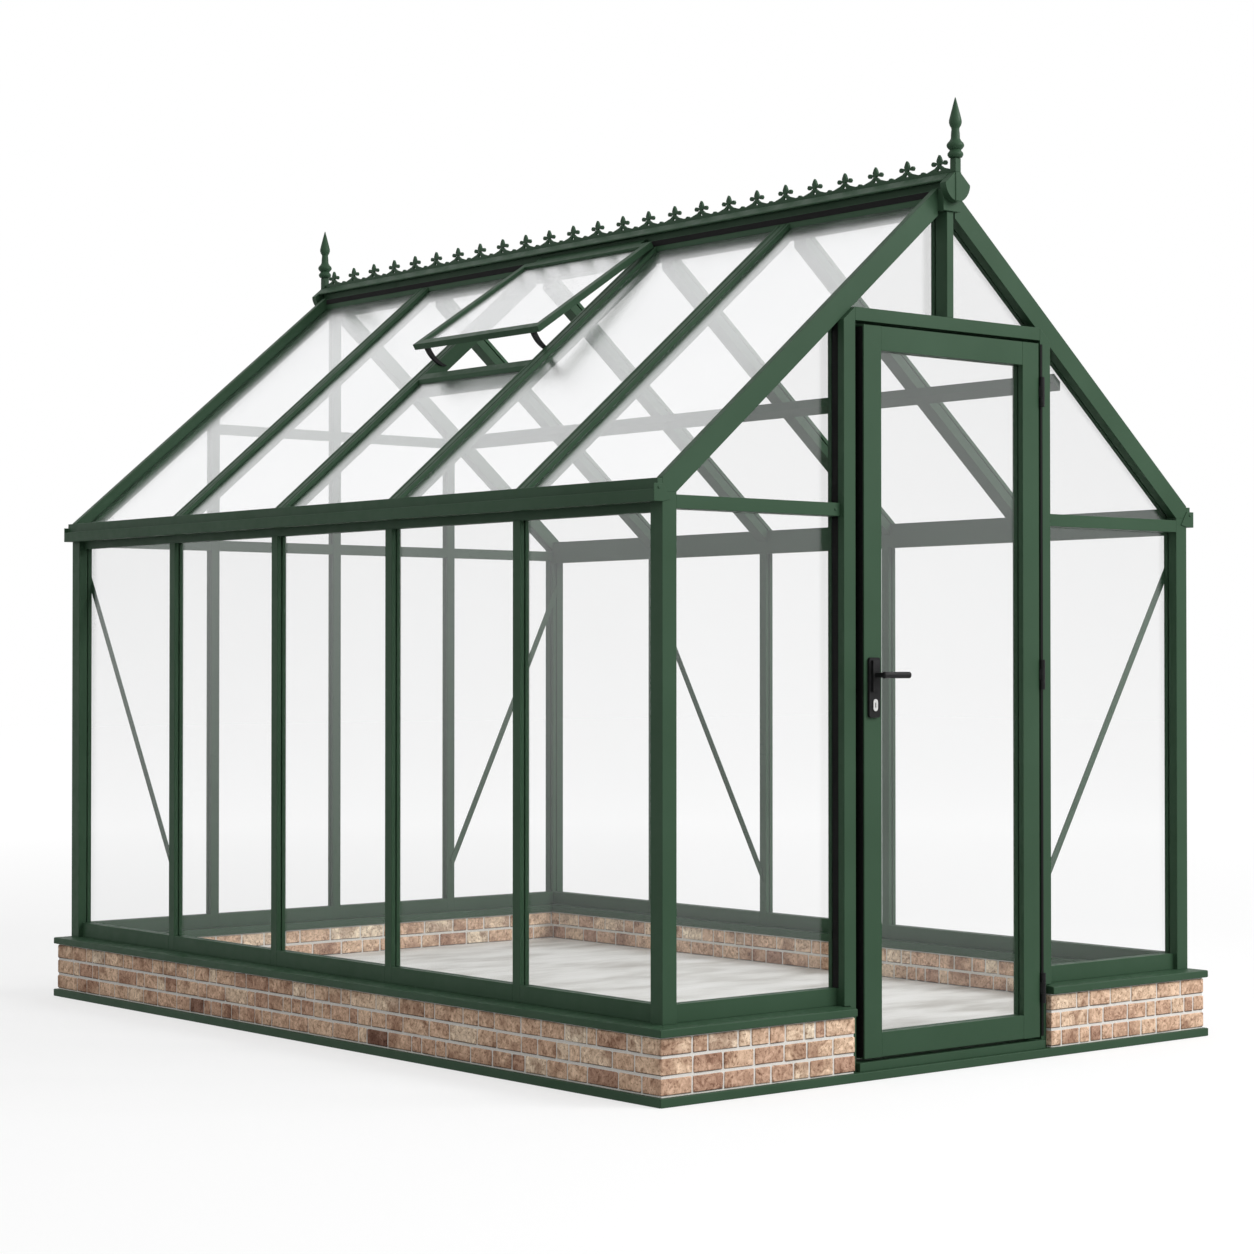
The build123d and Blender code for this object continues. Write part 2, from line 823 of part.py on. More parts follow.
def cresting():
    half = ridge_end + end_cap_thickness / 2 - finial_post_size / 2 - crest_gap
    count = 1 + int(2 * (half - crest_width / 2) // crest_pitch)
    strip = Pos(0, crest_strip_height / 2) * Rectangle(half + half, crest_strip_height)
    motif = crest_motif()
    rise = crest_height - crest_strip_height
    bump = crest_face([(crest_width * a, crest_strip_height + rise * h) for a, h in crest_bump_shares])
    start = -crest_pitch * (count - 1) / 2
    repeats = [Pos(start + i * crest_pitch, 0) * motif for i in range(count)]
    repeats += [Pos(start + (i + 1 / 2) * crest_pitch, 0) * bump for i in range(count - 1)]
    shape = strip + repeats
    plane = Plane(origin=(-crest_thickness / 2, 0, ridge_top), x_dir=(0, 1, 0), z_dir=(1, 0, 0))
    save("ridge_cresting", [extrude(plane * shape, amount=crest_thickness)])


# Roof vent: a glazed sash that hooks under the ridge cap and stands ajar on two bowed stays.
def vent_point(u, w):
    """A point of the vent's section, u down the sash from its pivot and w square to it."""
    x = vent_pivot_x + u * cos(vent_slope) + w * sin(vent_slope)
    z = vent_pivot_z - u * sin(vent_slope) + w * cos(vent_slope)
    return (-x, z)


def vent_strip(u0, u1, w0, w1):
    return [vent_point(u0, w0), vent_point(u1, w0), vent_point(u1, w1), vent_point(u0, w1)]


def vent():
    y0, y1 = roof_lights[vent_bay]
    centre = (y0 + y1) / 2
    half = vent_width / 2
    clear = half - vent_bar
    middle = (vent_top + vent_under) / 2

    def sheet(spare):
        thick = pane_thickness / 2 + spare
        grow = pane_bite + spare
        return along_y(
            vent_strip(
                vent_start + vent_bar - grow, vent_length - vent_bar + grow, middle - thick, middle + thick
            ),
            centre - clear - grow,
            centre + clear + grow,
        )

    groove = [sheet(pane_clearance)]
    side = vent_strip(vent_start, vent_length, vent_under, vent_top)
    stiles = [
        along_y(side, centre - half, centre - clear),
        along_y(side, centre + clear, centre + half),
    ]
    save("vent_stiles", cut(stiles, groove))

    head = along_y(
        vent_strip(vent_start, vent_start + vent_bar, vent_under, vent_top), centre - clear, centre + clear
    )
    arm_half = (y1 - y0) / 2 - pane_bite
    arm = along_y(
        vent_strip(0, vent_start + vent_arm, vent_top - vent_arm, vent_top),
        centre - arm_half,
        centre + arm_half,
    )
    bead_plane = Plane(
        origin=(-vent_pivot_x, centre - arm_half, vent_pivot_z), x_dir=(1, 0, 0), z_dir=(0, 1, 0)
    )
    bead = extrude(bead_plane * Circle(vent_bead_radius), amount=arm_half + arm_half)
    foot = along_y(
        vent_strip(vent_length - vent_bar, vent_length, vent_under, vent_top),
        centre - clear,
        centre + clear,
    )
    save("vent_rails", cut([head + arm + bead, foot], groove))
    save("vent_glazing", [sheet(0)])

    bar = slope_strip(transom_inner, transom_outer, rafter_drop, rafter_drop + rafter_depth)
    transom = along_y(flipped(bar), y0, y1)
    save("vent_transom", cut([transom], roof_grooves))
    save("vent_stays", [vent_stay(y0, y0 + vent_stay_thickness), vent_stay(y1 - vent_stay_thickness, y1)])


def vent_stay(y0, y1):
    """A bowed flat bar from the sash's foot rail down to the side of the rafter."""
    u = vent_length - vent_bar / 2
    head_x, head_z = vent_point(u, vent_under)
    foot_x = -transom_inner + vent_stay_foot * cos_pitch
    foot_z = roof_z(foot_x, rafter_drop + rafter_depth / 2)
    half = vent_stay_width / 2
    middle_x = (head_x + foot_x) / 2 - vent_stay_bow
    middle_z = (head_z + foot_z) / 2

    def at(x, z):
        return (x, y0, z)

    outer = ThreePointArc(
        at(head_x - half, head_z), at(middle_x - half, middle_z), at(foot_x - half, foot_z)
    )
    inner = ThreePointArc(
        at(foot_x + half, foot_z), at(middle_x + half, middle_z), at(head_x + half, head_z)
    )
    ends = Line(at(foot_x - half, foot_z), at(foot_x + half, foot_z)).edges()
    ends += Line(at(head_x + half, head_z), at(head_x - half, head_z)).edges()
    bar = extrude(make_face(outer.edges() + inner.edges() + ends), amount=y1 - y0, dir=(0, 1, 0))
    sash = along_y(vent_strip(0, vent_length, vent_under, vent_top), y0 - overrun, y1 + overrun)
    return bar - sash


# Diagonal braces: flat bars screwed to the inner faces of the uprights on either side of a bay.
def slanted(a0, z0, a1, z1):
    """Outline of a flat bar from one fixing to another, with plumb-cut ends."""
    rise = brace_width * (((z1 - z0) ** 2 + (a1 - a0) ** 2) ** 0.5) / abs(a1 - a0) / 2
    return [(a0, z0 - rise), (a1, z1 - rise), (a1, z1 + rise), (a0, z0 + rise)]


def braces():
    low = rail_top + brace_end
    high = eave_height - brace_end
    to_pane = pane_inset + pane_thickness / 2 + pane_clearance
    corner = half_length - to_pane
    last = mullion_places[-1]
    left = along_x(slanted(last, low, corner, high), -inner_width, -inner_width + brace_thickness)
    before = mullion_places[-2]
    right = along_x(slanted(before, low, last, high), inner_width - brace_thickness, inner_width)
    corner = half_width - to_pane
    rear_bar = slanted(rear_places[-1], low, corner, high)
    rear = along_y(rear_bar, inner_length - brace_thickness, inner_length)
    jamb = (jamb_inner + jamb_outer) / 2
    front_bar = slanted(jamb, low, corner, high)
    front = along_y(front_bar, -inner_length, -inner_length + brace_thickness)
    save("wall_braces", [left, right, rear, front])


def glazing():
    save("side_glazing", side_panes(0))
    front, rear = gable_panes(0)
    save("front_glazing", front)
    save("rear_glazing", rear)
    save("roof_glazing", roof_panes(0))


# Door: a framed leaf on three butt hinges, with a lever on each side of one spindle.
def lever_pair():
    front = leaf_front - handle_plate_thickness - lever_reach
    back = leaf_back + handle_plate_thickness + lever_reach
    plane = Plane(origin=(handle_x, front, handle_z), x_dir=(1, 0, 0), z_dir=(0, 1, 0))
    spindle = extrude(plane * Circle(spindle_radius), amount=back - front)
    pair = spindle
    for y in (front, back):
        start = Plane(origin=(handle_x, y, handle_z), x_dir=(0, 1, 0), z_dir=(1, 0, 0))
        grip = extrude(start * Circle(lever_radius), amount=lever_length)
        grip = Pos(-lever_radius, 0, 0) * chamfer(grip.edges().filter_by(GeomType.CIRCLE), lever_chamfer)
        pair = pair + grip
    return pair


def spindle_hole():
    front = leaf_front - handle_plate_thickness - boss_thickness - overrun
    back = leaf_back + handle_plate_thickness + boss_thickness + overrun
    plane = Plane(origin=(handle_x, front, handle_z), x_dir=(1, 0, 0), z_dir=(0, 1, 0))
    return extrude(plane * Circle(spindle_radius + spindle_clearance), amount=back - front)


def lock_cylinder():
    front = leaf_front - handle_plate_thickness - cylinder_proud
    back = leaf_back + handle_plate_thickness + cylinder_proud
    plane = Plane(
        origin=(handle_x, front, handle_z - cylinder_drop), x_dir=(0, 0, 1), z_dir=(0, 1, 0)
    )
    return extrude(plane * SlotOverall(cylinder_height, cylinder_width), amount=back - front)


def handle_plate(y0, y1):
    middle = handle_z + handle_plate_lift - handle_plate_height / 2
    plane = Plane(origin=(handle_x, y0, middle), x_dir=(1, 0, 0), z_dir=(0, 1, 0))
    outline = RectangleRounded(handle_plate_width, handle_plate_height, handle_corner)
    plate = extrude(plane * outline, amount=y1 - y0)
    rim = (handle_plate_width - boss_width) / 2
    top = handle_z + handle_plate_lift - rim
    left = handle_x - boss_width / 2
    return plate + block(left, left + boss_width, *boss_reach(y0, y1), top - boss_height, top)


def boss_reach(y0, y1):
    """The raised part's depth, on the side of the plate that faces away from the leaf."""
    return (y0 - boss_thickness, y0) if y1 <= leaf_front else (y1, y1 + boss_thickness)


def door_leaf():
    clear = leaf_half - stile_width
    low = leaf_bottom + door_rail_height
    high = leaf_top - door_rail_height
    middle = (leaf_front + leaf_back) / 2

    def sheet(spare):
        grow = pane_bite + spare
        half = pane_thickness / 2 + spare
        return block(-clear - grow, clear + grow, middle - half, middle + half, low - grow, high + grow)

    groove = sheet(pane_clearance)
    lock = lock_cylinder()
    stile = block(clear, leaf_half, leaf_front, leaf_back, leaf_bottom, leaf_top)
    save("door_stiles", cut([turned(stile), stile], [groove, spindle_hole(), lock]))
    rails = [
        block(-clear, clear, leaf_front, leaf_back, leaf_bottom, low),
        block(-clear, clear, leaf_front, leaf_back, high, leaf_top),
    ]
    save("door_rails", cut(rails, [groove]))
    save("door_glazing", [sheet(0)])
    plates = [
        handle_plate(leaf_front - handle_plate_thickness, leaf_front),
        handle_plate(leaf_back, leaf_back + handle_plate_thickness),
    ]
    save("handle_plates", cut(plates, [spindle_hole(), lock]))
    save("lock_cylinder", [lock])
    save("door_levers", [lever_pair()])


hinge_x = leaf_half + door_side_gap / 2
hinge_y = leaf_front - knuckle_proud
hinge_places = [leaf_bottom + hinge_end, handle_z, leaf_top - hinge_end]


def barrel(radius, z0, z1):
    return extrude(Plane(origin=(hinge_x, hinge_y, z0)) * Circle(radius), amount=z1 - z0)


def hinges():
    jamb_leaves = []
    door_leaves = []
    plate_start = hinge_y + knuckle_radius + knuckle_gap
    plate_end = plate_start + hinge_plate_width
    for z in hinge_places:
        low = z - hinge_height / 2
        high = z + hinge_height / 2
        middle_half = knuckle_share * hinge_height / 2
        gap_low = z - middle_half - knuckle_gap / 2
        gap_high = z + middle_half + knuckle_gap / 2
        jamb_leaf = block(jamb_inner - hinge_plate, jamb_inner, plate_start, plate_end, low, high)
        for z0, z1 in ((low, gap_low), (gap_high, high)):
            jamb_leaf += barrel(knuckle_radius, z0, z1)
            jamb_leaf += block(hinge_x, jamb_inner, hinge_y, plate_start, z0, z1)
            jamb_leaf += block(jamb_inner - hinge_plate, jamb_inner, hinge_y, plate_end, z0, z1)
        jamb_leaf += barrel(pin_radius, low, high)
        jamb_leaves.append(jamb_leaf)
        door_leaf_plate = block(leaf_half, leaf_half + hinge_plate, plate_start, plate_end, low, high)
        z0 = z - middle_half
        z1 = z + middle_half
        door_leaf_plate += barrel(knuckle_radius, z0, z1)
        door_leaf_plate += block(leaf_half, hinge_x, hinge_y, plate_start, z0, z1)
        door_leaf_plate += block(leaf_half, leaf_half + hinge_plate, hinge_y, plate_end, z0, z1)
        door_leaf_plate -= barrel(pin_radius + pin_clearance, low, high)
        door_leaves.append(door_leaf_plate)
    save("jamb_hinges", jamb_leaves)
    save("door_hinges", door_leaves)


os.makedirs("parts", exist_ok=True)
base_rails()
dwarf_walls()
sills()
floor()
uprights()
rear_frame()
front_frame()
eaves()
rafters()
verges()
purlin()
ridge()
end_caps()
finials()
cresting()
vent()
braces()
glazing()
door_leaf()
hinges()
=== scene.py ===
import math
import random

import bmesh
import bpy
from mathutils import Matrix, Vector


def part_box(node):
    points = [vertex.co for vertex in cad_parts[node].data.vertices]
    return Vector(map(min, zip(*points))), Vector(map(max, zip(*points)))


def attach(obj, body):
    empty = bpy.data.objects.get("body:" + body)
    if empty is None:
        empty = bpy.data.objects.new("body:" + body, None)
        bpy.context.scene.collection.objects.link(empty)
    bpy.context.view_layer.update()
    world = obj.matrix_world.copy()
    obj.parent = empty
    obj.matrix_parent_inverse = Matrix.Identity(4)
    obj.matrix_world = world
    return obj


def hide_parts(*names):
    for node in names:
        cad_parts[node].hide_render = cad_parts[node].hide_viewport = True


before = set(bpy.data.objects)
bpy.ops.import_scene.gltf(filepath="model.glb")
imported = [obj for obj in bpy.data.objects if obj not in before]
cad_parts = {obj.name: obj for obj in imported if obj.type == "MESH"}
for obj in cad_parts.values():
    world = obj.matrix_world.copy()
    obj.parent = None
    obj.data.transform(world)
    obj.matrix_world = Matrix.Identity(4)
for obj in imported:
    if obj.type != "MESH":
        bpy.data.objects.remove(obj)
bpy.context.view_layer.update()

# Base rails.
# Box rails of powder-coated aluminium, laid on the ground all round under the first course of bricks.
# They are mitred at the corners, and their drawn edges are slightly round.

bar_arris = 0.0012
rail_arris = 0.002
shortest_edge = 0.012  # shorter edges stay sharp
weld_distance = 1e-5
flat_within = 0.5  # degrees
sharp_from = 35
smooth_up_to = 40
coat_light = (0.034, 0.074, 0.041)
coat_dark = (0.028, 0.064, 0.034)


def only(piece):
    """Selects one object and nothing else."""
    bpy.ops.object.select_all(action="DESELECT")
    piece.select_set(True)
    bpy.context.view_layer.objects.active = piece


def material_of(name):
    """A new material with the nodes that every finish here starts from."""
    material = bpy.data.materials.new(name)
    material.use_nodes = True
    nodes = material.node_tree.nodes
    shader = nodes["Principled BSDF"]
    place = nodes.new("ShaderNodeTexCoord")
    return material, nodes, material.node_tree.links, shader, place.outputs["Object"]


def noise_at(nodes, links, place, scale, detail, distortion=0):
    """Cloudy noise of so many swells a metre."""
    cloud = nodes.new("ShaderNodeTexNoise")
    cloud.inputs["Scale"].default_value = scale
    cloud.inputs["Detail"].default_value = detail
    cloud.inputs["Distortion"].default_value = distortion
    links.new(place, cloud.inputs["Vector"])
    return cloud.outputs["Fac"]


def shades(nodes, links, factor, stops):
    """Colours along a factor, as (place, (r, g, b)) stops."""
    ramp = nodes.new("ShaderNodeValToRGB")
    for index, (at, colour) in enumerate(stops):
        if index > 1:
            ramp.color_ramp.elements.new(at)
        ramp.color_ramp.elements[index].position = at
        ramp.color_ramp.elements[index].color = (*colour, 1)
    links.new(factor, ramp.inputs["Fac"])
    return ramp.outputs["Color"]


def between(nodes, links, factor, low, high, start=0.3, end=0.7):
    """A number that runs from low to high as the factor goes from start to end."""
    span = nodes.new("ShaderNodeMapRange")
    span.inputs["From Min"].default_value = start
    span.inputs["From Max"].default_value = end
    span.inputs["To Min"].default_value = low
    span.inputs["To Max"].default_value = high
    links.new(factor, span.inputs["Value"])
    return span.outputs["Result"]


def relief(nodes, links, shader, height, depth, strength):
    """Bump of so many metres on a shader."""
    bump = nodes.new("ShaderNodeBump")
    bump.inputs["Distance"].default_value = depth
    bump.inputs["Strength"].default_value = strength
    links.new(height, bump.inputs["Height"])
    links.new(bump.outputs["Normal"], shader.inputs["Normal"])


def powder_coat(name, light, dark):
    """Satin powder coat: a fine orange peel, and a colour that drifts a little along a bar."""
    material, nodes, links, shader, place = material_of(name)
    drift = noise_at(nodes, links, place, scale=4, detail=3)
    links.new(shades(nodes, links, drift, [(0.3, dark), (0.7, light)]), shader.inputs["Base Color"])
    smear = noise_at(nodes, links, place, scale=35, detail=4)
    links.new(between(nodes, links, smear, low=0.4, high=0.54), shader.inputs["Roughness"])
    shader.inputs["Specular IOR Level"].default_value = 0.13
    peel = noise_at(nodes, links, place, scale=900, detail=2)
    relief(nodes, links, shader, peel, depth=0.0002, strength=0.25)
    return material


green_coat = powder_coat("green_powder_coat", coat_light, coat_dark)


def welded_copy(node, name):
    """A copy of a frame node's mesh with its loose facets welded into whole faces."""
    piece = bpy.data.objects.new(name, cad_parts[node].data.copy())
    bpy.context.scene.collection.objects.link(piece)
    only(piece)
    bpy.ops.object.mode_set(mode="EDIT")
    bpy.ops.mesh.select_all(action="SELECT")
    bpy.ops.mesh.remove_doubles(threshold=weld_distance)
    bpy.ops.mesh.dissolve_limited(angle_limit=math.radians(flat_within))
    bpy.ops.object.mode_set(mode="OBJECT")
    return piece


def round_arrises(piece, radius, shortest):
    """Rounds the sharp edges that are longer than the shortest."""
    only(piece)
    bpy.context.tool_settings.mesh_select_mode = (False, True, False)
    bpy.ops.object.mode_set(mode="EDIT")
    bpy.ops.mesh.select_all(action="DESELECT")
    bpy.ops.mesh.edges_select_sharp(sharpness=math.radians(sharp_from))
    mesh = bmesh.from_edit_mesh(piece.data)
    for edge in mesh.edges:
        if edge.select and edge.calc_length() < shortest:
            edge.select_set(False)
    bmesh.update_edit_mesh(piece.data)
    bpy.ops.mesh.bevel(offset=radius, segments=2, affect="EDGES", clamp_overlap=True)
    bpy.ops.object.mode_set(mode="OBJECT")


def finish_piece(piece, material, body="building", smooth=smooth_up_to):
    """Gives a piece its finish, flat faces between soft edges, and the body that it rides on."""
    only(piece)
    piece.data.materials.clear()
    piece.data.materials.append(material)
    bpy.ops.object.shade_smooth_by_angle(angle=math.radians(smooth))
    flats = piece.modifiers.new("flat_faces", "WEIGHTED_NORMAL")
    flats.keep_sharp = True
    bpy.ops.object.modifier_apply(modifier=flats.name)
    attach(piece, body)
    return piece


def coated_bars(nodes, radius=bar_arris, body="building"):
    """The bars of some nodes with rounded arrises and the green coat."""
    for node in nodes:
        piece = welded_copy(node, node + "_coated")
        round_arrises(piece, radius, shortest_edge)
        finish_piece(piece, green_coat, body)
        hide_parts(node)


coated_bars(["base_side_rails", "base_end_rails"], rail_arris)

# Brick dwarf walls.
# Three courses of tumbled clay bricks, one brick thick, in tan, pink and brown, cut to uneven lengths.
# They are bedded in pale lime mortar, struck a little behind the faces of the bricks.

side_low, side_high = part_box("left_dwarf_wall")
wall_thickness = side_high.x - side_low.x
brick_courses = 3
mortar_joint = 0.0075
upright_joint = 0.0055
mortar_recess = 0.0034
mortar_roughness = mortar_recess / 5
mortar_cuts = 20
mortar_seed = 3
corner_lap = 3 * mortar_recess  # the mortar of the end walls runs so far on into the corners
brick_length = 0.1
shortest_brick = 0.034
longest_brick = 0.13
brick_arris = 0.004
brick_unevenness = 0.0013
brick_variants = 8
course_tones = (0.47, 0.61, 0.68)  # the lowest course is the darkest
tone_spread = 0.2
jamb_seat = 0.022  # the jambs stand so far onto the ends of the piers
brick_seed = 11
dice = random.Random(brick_seed)


def blended(nodes, links, way, share, under, over):
    """One colour laid over another."""
    mix = nodes.new("ShaderNodeMix")
    mix.data_type = "RGBA"
    mix.blend_type = way
    mix.inputs["Factor"].default_value = share
    links.new(under, mix.inputs["A"])
    links.new(over, mix.inputs["B"])
    return mix.outputs["Result"]


def fired_clay():
    """Tumbled brick: each brick has its own tone, mottled, with dark fissures, a sandy skin and a painted
    shadow along its lower arris.
    """
    material, nodes, links, shader, place = material_of("tumbled_brick")
    tone = nodes.new("ShaderNodeAttribute")
    tone.attribute_name = "brick_tone"
    clay = shades(nodes, links, tone.outputs["Fac"], [
        (0.0, (0.27, 0.155, 0.11)),
        (0.2, (0.47, 0.29, 0.205)),
        (0.5, (0.64, 0.435, 0.305)),
        (0.8, (0.71, 0.515, 0.365)),
        (1.0, (0.82, 0.69, 0.53)),
    ])
    swirl = noise_at(nodes, links, place, scale=48, detail=7, distortion=1.2)
    swirled = blended(nodes, links, "MULTIPLY", 1, clay, shades(nodes, links, swirl, [
        (0.3, (0.52, 0.45, 0.42)),
        (0.44, (0.88, 0.85, 0.83)),
        (0.55, (1.05, 1.05, 1.05)),
        (0.7, (1.34, 1.4, 1.44)),
    ]))
    fissure = noise_at(nodes, links, place, scale=150, detail=4, distortion=0.6)
    cracked = blended(nodes, links, "MULTIPLY", 1, swirled, shades(nodes, links, fissure, [
        (0.34, (0.55, 0.49, 0.46)),
        (0.45, (1.0, 1.0, 1.0)),
    ]))
    scorch = noise_at(nodes, links, place, scale=11, detail=3)
    scorched = blended(nodes, links, "MULTIPLY", 1, cracked, shades(nodes, links, scorch, [
        (0.36, (0.62, 0.55, 0.53)),
        (0.5, (1.0, 1.0, 1.0)),
    ]))
    # Painted shadow: the marked lowest ring of each brick goes near black, for the shade under its lower
    # arris.
    arris_shadow = nodes.new("ShaderNodeAttribute")
    arris_shadow.attribute_name = "painted_arris_shadow"
    arris_shadowed = blended(nodes, links, "MULTIPLY", 1, scorched, shades(nodes, links, arris_shadow.outputs["Fac"], [
        (0.0, (1.0, 1.0, 1.0)),
        (1.0, (0.08, 0.07, 0.065)),
    ]))
    links.new(arris_shadowed, shader.inputs["Base Color"])
    grit = noise_at(nodes, links, place, scale=260, detail=5)
    links.new(between(nodes, links, grit, low=0.8, high=0.95), shader.inputs["Roughness"])
    shader.inputs["Specular IOR Level"].default_value = 0.2
    skin = blended(nodes, links, "MULTIPLY", 0.5, grit, swirl)
    relief(nodes, links, shader, skin, depth=0.002, strength=0.7)
    return material


def lime_mortar():
    """Pale grey mortar with sand in it."""
    material, nodes, links, shader, place = material_of("lime_mortar")
    sand = noise_at(nodes, links, place, scale=420, detail=4)
    links.new(
        shades(nodes, links, sand, [(0.3, (0.62, 0.6, 0.56)), (0.7, (0.8, 0.78, 0.74))]),
        shader.inputs["Base Color"],
    )
    links.new(between(nodes, links, sand, low=0.85, high=0.97), shader.inputs["Roughness"])
    shader.inputs["Specular IOR Level"].default_value = 0.15
    relief(nodes, links, shader, sand, depth=0.001, strength=0.7)
    return material


brick_clay = fired_clay()
pale_mortar = lime_mortar()


def tumbled_bricks(depth, height):
    """Bricks of one length with knocked arrises, each worn in its own way."""
    shapes = []
    for variant in range(brick_variants):
        bpy.ops.object.select_all(action="DESELECT")
        bpy.ops.mesh.primitive_cube_add(size=1)
        bpy.ops.object.mode_set(mode="EDIT")
        bpy.ops.mesh.select_all(action="SELECT")
        bpy.ops.transform.resize(value=(brick_length, depth, height))
        bpy.ops.mesh.bevel(offset=brick_arris, segments=2, affect="EDGES")
        bpy.ops.mesh.select_all(action="SELECT")
        bpy.ops.transform.vertex_random(offset=brick_unevenness, seed=variant)
        bpy.ops.object.mode_set(mode="OBJECT")
        shapes.append(bpy.context.object)
    return shapes


def course_lengths(run):
    """Uneven brick lengths that fill a run, with a joint between each two."""
    lengths = []
    while sum(lengths) + upright_joint * len(lengths) < run - shortest_brick / 2:
        lengths.append(dice.uniform(shortest_brick, longest_brick))
    spread = (run - upright_joint * (len(lengths) - 1)) / sum(lengths)
    return [length * spread for length in lengths]


def laid_brick(shape, length, place, turn, row):
    """One brick of its own length, laid at a place in its course, with a tone of its own."""
    mesh = shape.data.copy()
    grow = (length - brick_length) / 2
    for vertex in mesh.vertices:
        vertex.co.x += grow if vertex.co.x > 0 else -grow
    mesh.transform(Matrix.Translation(place) @ Matrix.Rotation(turn, 4, "Z"))
    tone = mesh.attributes.new("brick_tone", "FLOAT", "POINT")
    shade = min(1, max(0, dice.gauss(course_tones[row], tone_spread)))
    tone.data.foreach_set("value", [shade] * len(mesh.vertices))
    # The lowest ring of vertices is marked for the painted shadow under the brick's lower arris.
    foot = min(vertex.co.z for vertex in mesh.vertices) + brick_arris / 2
    arris_shadow = mesh.attributes.new("painted_arris_shadow", "FLOAT", "POINT")
    arris_shadow.data.foreach_set("value", [float(vertex.co.z < foot) for vertex in mesh.vertices])
    piece = bpy.data.objects.new("laid_brick", mesh)
    bpy.context.scene.collection.objects.link(piece)
    return piece


def corner_reach(row, long_wall):
    """How far a course runs on into a corner, which long and short walls hold by turns."""
    holds = (row % 2 == 0) == long_wall
    if long_wall:
        return 0 if holds else -wall_thickness - upright_joint
    return wall_thickness if holds else -upright_joint


def brick_run(shapes, low, high, corners):
    """The bricks of one straight wall between two ends of its box, bonded with the walls that it meets."""
    along_y = high.y - low.y > high.x - low.x
    start, end = (low.y, high.y) if along_y else (low.x, high.x)
    middle = (low + high) / 2
    course = (high.z - low.z) / brick_courses
    bricks = []
    for row in range(brick_courses):
        reach = corner_reach(row, along_y)
        at = start - reach * corners[0]
        for length in course_lengths(end + reach * corners[1] - at):
            centre = at + length / 2
            z = low.z + (row + 0.5) * course
            place = Vector((middle.x, centre, z)) if along_y else Vector((centre, middle.y, z))
            turn = (math.pi / 2 if along_y else 0) + math.pi * dice.randint(0, 1)
            bricks.append(laid_brick(dice.choice(shapes), length, place, turn, row))
            at += length + upright_joint
    return bricks


def joined(pieces, name):
    """Several objects made one piece."""
    bpy.ops.object.select_all(action="DESELECT")
    for piece in pieces:
        piece.select_set(True)
    bpy.context.view_layer.objects.active = pieces[0]
    bpy.ops.object.join()
    piece = bpy.context.object
    piece.name = name
    return piece


def mortar_bed(low, high, corners):
    """The mortar of one straight wall, rough and a little thinner than its bricks, run into its corners."""
    recess = Vector((mortar_recess, mortar_recess, 0))
    low = low + recess
    high = high - recess
    if high.x - low.x > high.y - low.y:
        low.x -= corners[0] * corner_lap
        high.x += corners[1] * corner_lap
    bpy.ops.object.select_all(action="DESELECT")
    bpy.ops.mesh.primitive_cube_add(size=1, location=(low + high) / 2)
    bpy.ops.object.mode_set(mode="EDIT")
    bpy.ops.mesh.select_all(action="SELECT")
    bpy.ops.transform.resize(value=high - low)
    bpy.ops.mesh.subdivide(number_cuts=mortar_cuts)
    bpy.ops.transform.vertex_random(offset=mortar_roughness, seed=mortar_seed)
    bpy.ops.object.mode_set(mode="OBJECT")
    bpy.ops.object.transform_apply(location=True)
    return bpy.context.object


brick_shapes = tumbled_bricks(wall_thickness, (side_high.z - side_low.z) / brick_courses - mortar_joint)
pier_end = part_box("door_jambs")[1].x - jamb_seat
for node in ["left_dwarf_wall", "right_dwarf_wall", "rear_dwarf_wall", "front_dwarf_walls"]:
    low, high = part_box(node)
    runs = [(low, high, (1, 1))]
    if node == "front_dwarf_walls":
        runs = [
            (low, Vector((-pier_end, high.y, high.z)), (1, 0)),
            (Vector((pier_end, low.y, low.z)), high, (0, 1)),
        ]
    bricks = [brick for run in runs for brick in brick_run(brick_shapes, *run)]
    wall = finish_piece(joined(bricks, node + "_bricks"), brick_clay)
    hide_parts(node)
    beds = [mortar_bed(*run) for run in runs]
    finish_piece(joined(beds, node + "_mortar"), pale_mortar)
for shape in brick_shapes:
    bpy.data.objects.remove(shape)

# Floor.
# A cast floor one course up inside the walls, of pale limestone screed trowelled smooth.
# Its surface is clouded with long soft streaks of grey.

floor_arris = 0.003
streak_turn = 38  # degrees


def limestone_screed():
    """Pale trowelled screed, clouded and streaked."""
    material, nodes, links, shader, place = material_of("limestone_screed")
    stretch = nodes.new("ShaderNodeMapping")
    stretch.inputs["Rotation"].default_value = (0, 0, math.radians(streak_turn))
    stretch.inputs["Scale"].default_value = (1.1, 2.6, 1)
    links.new(place, stretch.inputs["Vector"])
    streaks = noise_at(nodes, links, stretch.outputs["Vector"], scale=3.2, detail=8)
    links.new(
        shades(nodes, links, streaks, [
            (0.28, (0.5, 0.475, 0.435)),
            (0.42, (0.68, 0.665, 0.63)),
            (0.55, (0.82, 0.81, 0.78)),
            (0.72, (0.9, 0.89, 0.87)),
        ]),
        shader.inputs["Base Color"],
    )
    links.new(between(nodes, links, streaks, low=0.45, high=0.7), shader.inputs["Roughness"])
    shader.inputs["Specular IOR Level"].default_value = 0.3
    trowel = noise_at(nodes, links, stretch.outputs["Vector"], scale=24, detail=5)
    relief(nodes, links, shader, trowel, depth=0.002, strength=0.2)
    return material


floor = welded_copy("floor_slab", "floor_screed")
round_arrises(floor, floor_arris, shortest_edge)
finish_piece(floor, limestone_screed())
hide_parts("floor_slab")

# Sills.
# Folded aluminium sills that cap the brick walls, with a sloped top and a square nose.
# They are mitred at the corners and stop at the door jambs.

